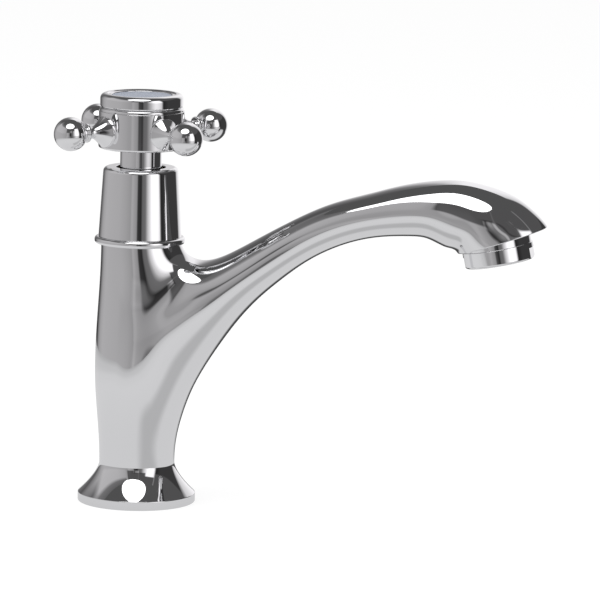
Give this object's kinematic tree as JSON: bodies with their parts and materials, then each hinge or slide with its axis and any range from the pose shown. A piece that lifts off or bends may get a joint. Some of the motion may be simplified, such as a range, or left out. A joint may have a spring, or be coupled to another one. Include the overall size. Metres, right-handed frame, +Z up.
{
  "type": "cross handle basin tap",
  "caption": "Chromed basin tap: flared pillar with an arched spout, a tapered shroud and a round cross handle with ball-ended arms that turns a ceramic disc valve.",
  "frame": {"origin": "centre of the base's underside, on the axis of the pillar and the handle, at the mouth of the inlet thread", "axes": "+Z up along the pillar and the handle's axis, +X along the spout"},
  "size_m": [0.185, 0.0572, 0.1571],
  "materials": {
    "chrome_cast": "polished chrome plate on cast brass",
    "chrome_turned": "polished chrome plate on turned brass",
    "index_disc": "plain grey-blue enamel, glossy",
    "black_rubber": "matt black rubber",
    "brass": "turned brass",
    "red_fibre": "matt vulcanised fibre",
    "ceramic": "lapped alumina ceramic",
    "white_plastic": "moulded acetal",
    "steel": "stainless steel"
  },
  "bodies": {
    "root": {"body_casting": "chrome_cast", "collar_ring": "chrome_turned", "bonnet_shroud": "chrome_turned", "aerator_housing": "chrome_turned", "base_seal_ring": "black_rubber", "seat_seal": "black_rubber", "aerator_washer": "black_rubber", "headwork_housing": "brass", "headwork_gasket": "red_fibre", "ceramic_disc_fixed": "ceramic", "thrust_washer": "white_plastic", "aerator_cartridge": "white_plastic", "aerator_diffuser": "white_plastic", "aerator_mesh": "steel"},
    "handle": {"spindle": "brass", "spindle_o_rings": "black_rubber", "circlip": "steel", "ceramic_disc_moving": "ceramic", "handle_bush": "chrome_turned", "handle_hub": "chrome_turned", "cross_arm_1": "chrome_turned", "cross_arm_2": "chrome_turned", "cross_arm_3": "chrome_turned", "cross_arm_4": "chrome_turned", "index_cap": "chrome_turned", "index_cap_o_ring": "black_rubber", "index_disc": "index_disc", "handle_screw": "steel", "handle_screw_washer": "steel"}
  },
  "joints": [
    {"name": "handle_turn", "type": "hinge", "parent": "root", "child": "handle", "pos_m": [0, 0, 0.1432], "axis": [0, 0, 1], "range_deg": [0, 90]}
  ]
}
